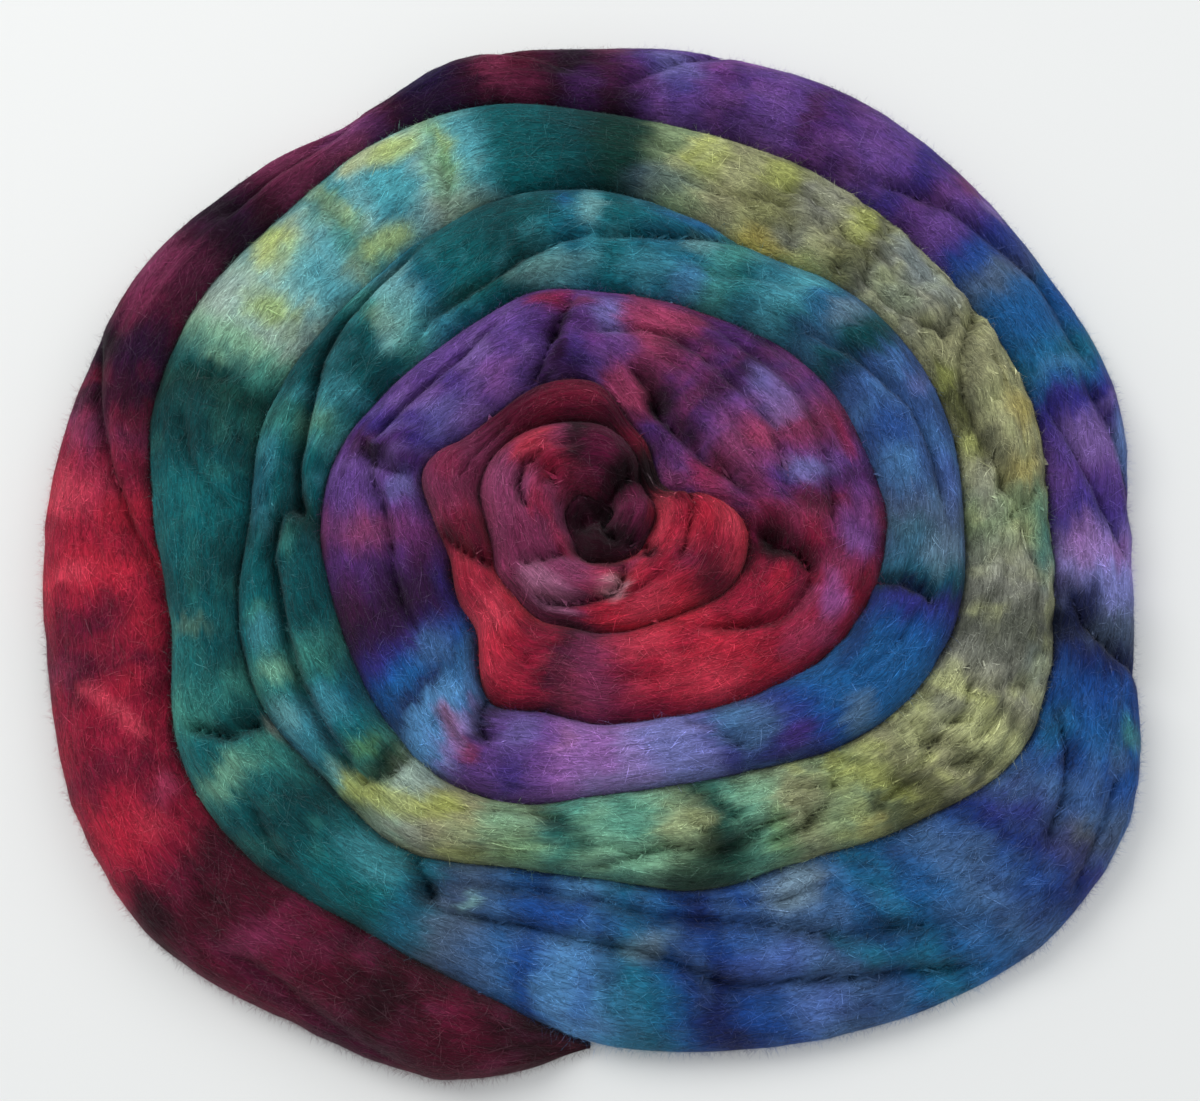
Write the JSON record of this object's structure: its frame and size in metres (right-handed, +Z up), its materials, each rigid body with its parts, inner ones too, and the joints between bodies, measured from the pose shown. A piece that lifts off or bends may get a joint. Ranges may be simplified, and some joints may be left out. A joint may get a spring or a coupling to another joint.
{
  "type": "wool roving",
  "caption": "A hand-dyed length of combed wool roving, laid flat in a loose spiral with a small rosette at its middle.",
  "frame": {"origin": "middle of the whole spiral's outline, on the surface that it lies on", "axes": "+Z up, out of the surface; the outer end of the strand shows at the -Y side and the strand runs clockwise from it, as seen from +Z"},
  "size_m": [0.4618, 0.4524, 0.0327],
  "materials": {
    "dyed_combed_wool": "soft matte wool with a faint lengthwise silkiness, dyed along its length in crimson, plum, violet, indigo, cobalt, teal, lime, olive and lilac"
  },
  "bodies": {
    "root": {"roving": "dyed_combed_wool"}
  },
  "joints": []
}
